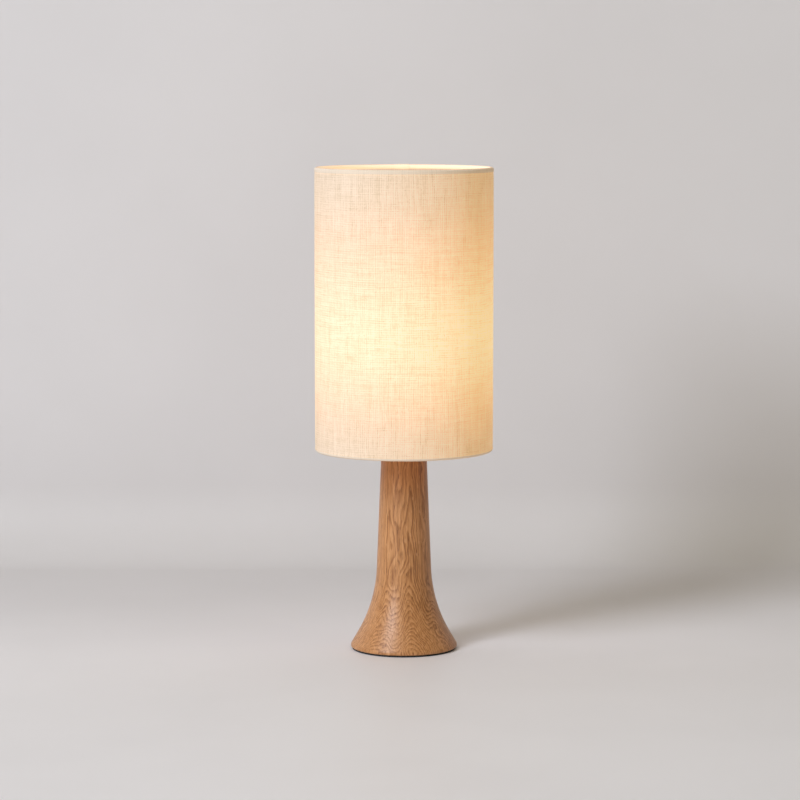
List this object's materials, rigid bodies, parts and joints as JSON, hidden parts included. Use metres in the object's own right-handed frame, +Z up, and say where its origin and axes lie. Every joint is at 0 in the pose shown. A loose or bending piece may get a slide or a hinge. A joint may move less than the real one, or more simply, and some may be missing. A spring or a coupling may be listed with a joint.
{
  "type": "column table lamp",
  "caption": "Table lamp: a turned wooden column that flares into a round foot, under a tall linen drum shade lit by a screw-in bulb.",
  "frame": {"origin": "on the lamp's axis, at the underside of the foot pad", "axes": "+Z up along the column and the shade, -Y towards the front, +Y towards the cord inlet and the shade's seam"},
  "size_m": [0.2, 0.2, 0.544],
  "materials": {
    "pad": "matt foam rubber",
    "oak": "satin oiled oak",
    "ballast": "as cast",
    "zinc": "zinc plated",
    "black_plastic": "matt",
    "brass": "satin",
    "liner_board": "varnished board",
    "phenolic": "moulded, semi-gloss",
    "linen": "slubbed linen, lit from inside",
    "shade_backing": "translucent white backing, lit from inside",
    "shade_wire": "white powder coat",
    "bulb_metal": "nickel-bright",
    "white_plastic": "matt",
    "board": "white solder mask",
    "opal": "opal, lit"
  },
  "bodies": {
    "lamp": {"foot_pad": "pad", "turned_column": "oak", "ballast_weight": "ballast", "ballast_washer": "zinc", "ballast_nut": "zinc", "threaded_rod": "zinc", "cord_bushing": "black_plastic", "column_cap": "brass", "lock_washer": "zinc", "socket_cap": "brass", "socket_set_screw": "zinc", "socket_shell": "brass", "socket_liner": "liner_board", "socket_body": "phenolic", "screw_shell": "brass", "shell_rivets": "brass", "centre_contact": "brass", "terminal_screws": "brass", "switch_contact": "brass", "shade_ring_lower": "phenolic", "shade_ring_upper": "phenolic"},
    "switch": {"switch_shaft": "zinc", "switch_rotor": "phenolic", "switch_knob": "phenolic"},
    "shade": {"shade_fabric": "linen", "shade_liner": "shade_backing", "shade_seam": "shade_backing", "top_ring": "shade_wire", "bottom_ring": "shade_wire", "top_hem": "linen", "bottom_hem": "linen", "fitter_collar": "shade_wire", "fitter_arm_1": "shade_wire", "fitter_arm_2": "shade_wire", "fitter_arm_3": "shade_wire"},
    "bulb_tip": {"bulb_tip_contact": "bulb_metal"},
    "bulb": {"bulb_insulator": "phenolic", "bulb_screw_cap": "bulb_metal", "bulb_housing": "white_plastic", "led_board": "board", "bulb_diffuser": "opal"}
  },
  "joints": [
    {"name": "knob_turn", "type": "hinge", "parent": "lamp", "child": "switch", "pos_m": [0.0195, 0, 0.2593], "axis": [1, 0, 0], "continuous": true},
    {"name": "shade_turn", "type": "hinge", "parent": "lamp", "child": "shade", "pos_m": [0, 0, 0.27535], "axis": [0, 0, 1], "continuous": true},
    {"name": "bulb_rise", "type": "slide", "parent": "lamp", "child": "bulb_tip", "axis": [0, 0, 1], "range_m": [0, 0.01455]},
    {"name": "bulb_turn", "type": "hinge", "parent": "bulb_tip", "child": "bulb", "pos_m": [0, 0, 0.2714], "axis": [0, 0, 1], "range_deg": [0, 1440]}
  ],
  "couplings": [
    {"joint": "bulb_rise", "follows": "bulb_turn", "m_per_rad": 0.00057757}
  ]
}
